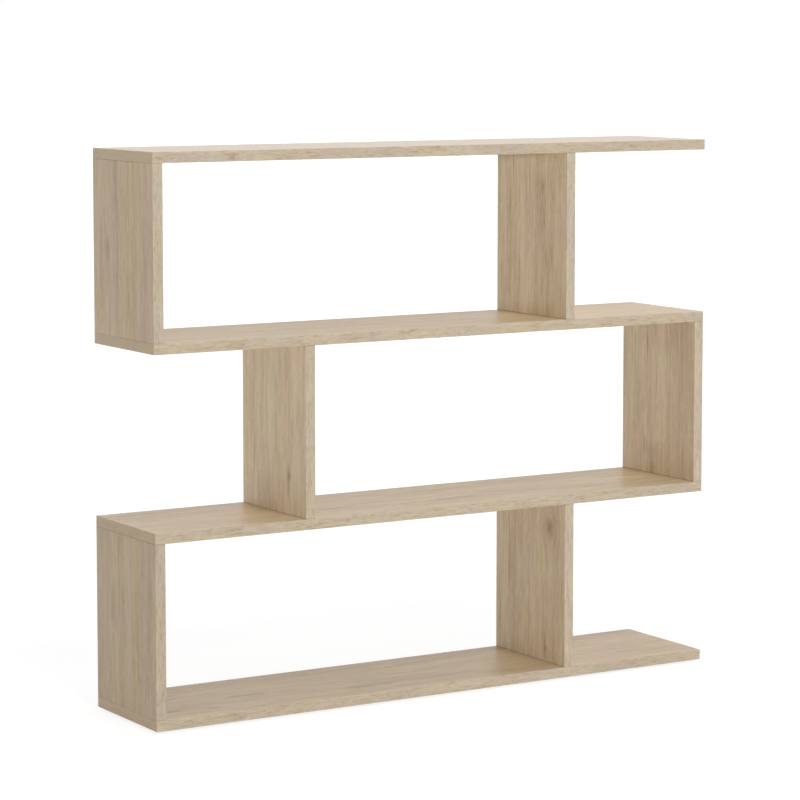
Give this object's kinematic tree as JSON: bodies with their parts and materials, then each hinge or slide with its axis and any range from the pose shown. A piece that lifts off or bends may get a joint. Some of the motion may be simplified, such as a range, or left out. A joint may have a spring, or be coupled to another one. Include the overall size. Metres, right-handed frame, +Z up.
{
  "type": "low shelving unit",
  "caption": "Low open shelving unit: long shelves on short uprights set in zig-zag, so the open end changes side from tier to tier; pale oak decor board.",
  "frame": {"origin": "middle of the footprint, on the floor", "axes": "+X along the shelves to the right as seen from the front, +Y from front to back, +Z up"},
  "size_m": [1.101, 0.22, 0.946],
  "materials": {
    "oak_decor_board": "matt printed oak decor on chipboard, fine pores",
    "oak_decor_edging": "matt printed plastic edging",
    "zinc_cam": "bare die-cast zinc",
    "plated_bolt": "zinc plated",
    "beige_cap": "matt moulded plastic",
    "beech_dowel": "raw beech",
    "glide_plastic": "smooth matt plastic",
    "nail_steel": "bright steel"
  },
  "bodies": {
    "root": {"bottom_shelf": "oak_decor_board", "lower_shelf": "oak_decor_board", "upper_shelf": "oak_decor_board", "top_shelf": "oak_decor_board", "lower_left_upright": "oak_decor_board", "lower_right_upright": "oak_decor_board", "middle_left_upright": "oak_decor_board", "middle_right_upright": "oak_decor_board", "upper_left_upright": "oak_decor_board", "upper_right_upright": "oak_decor_board", "bottom_shelf_front_band": "oak_decor_edging", "bottom_shelf_back_band": "oak_decor_edging", "bottom_shelf_left_band": "oak_decor_edging", "bottom_shelf_right_band": "oak_decor_edging", "lower_shelf_front_band": "oak_decor_edging", "lower_shelf_back_band": "oak_decor_edging", "lower_shelf_left_band": "oak_decor_edging", "lower_shelf_right_band": "oak_decor_edging", "upper_shelf_front_band": "oak_decor_edging", "upper_shelf_back_band": "oak_decor_edging", "upper_shelf_left_band": "oak_decor_edging", "upper_shelf_right_band": "oak_decor_edging", "top_shelf_front_band": "oak_decor_edging", "top_shelf_back_band": "oak_decor_edging", "top_shelf_left_band": "oak_decor_edging", "top_shelf_right_band": "oak_decor_edging", "lower_left_upright_front_band": "oak_decor_edging", "lower_left_upright_back_band": "oak_decor_edging", "lower_right_upright_front_band": "oak_decor_edging", "lower_right_upright_back_band": "oak_decor_edging", "middle_left_upright_front_band": "oak_decor_edging", "middle_left_upright_back_band": "oak_decor_edging", "middle_right_upright_front_band": "oak_decor_edging", "middle_right_upright_back_band": "oak_decor_edging", "upper_left_upright_front_band": "oak_decor_edging", "upper_left_upright_back_band": "oak_decor_edging", "upper_right_upright_front_band": "oak_decor_edging", "upper_right_upright_back_band": "oak_decor_edging", "lower_cam_locks": "zinc_cam", "middle_cam_locks": "zinc_cam", "upper_cam_locks": "zinc_cam", "lower_cam_bolts": "plated_bolt", "middle_cam_bolts": "plated_bolt", "upper_cam_bolts": "plated_bolt", "lower_cover_caps": "beige_cap", "middle_cover_caps": "beige_cap", "upper_cover_caps": "beige_cap", "lower_dowels": "beech_dowel", "middle_dowels": "beech_dowel", "upper_dowels": "beech_dowel", "floor_glides": "glide_plastic", "glide_nails": "nail_steel"}
  },
  "joints": []
}
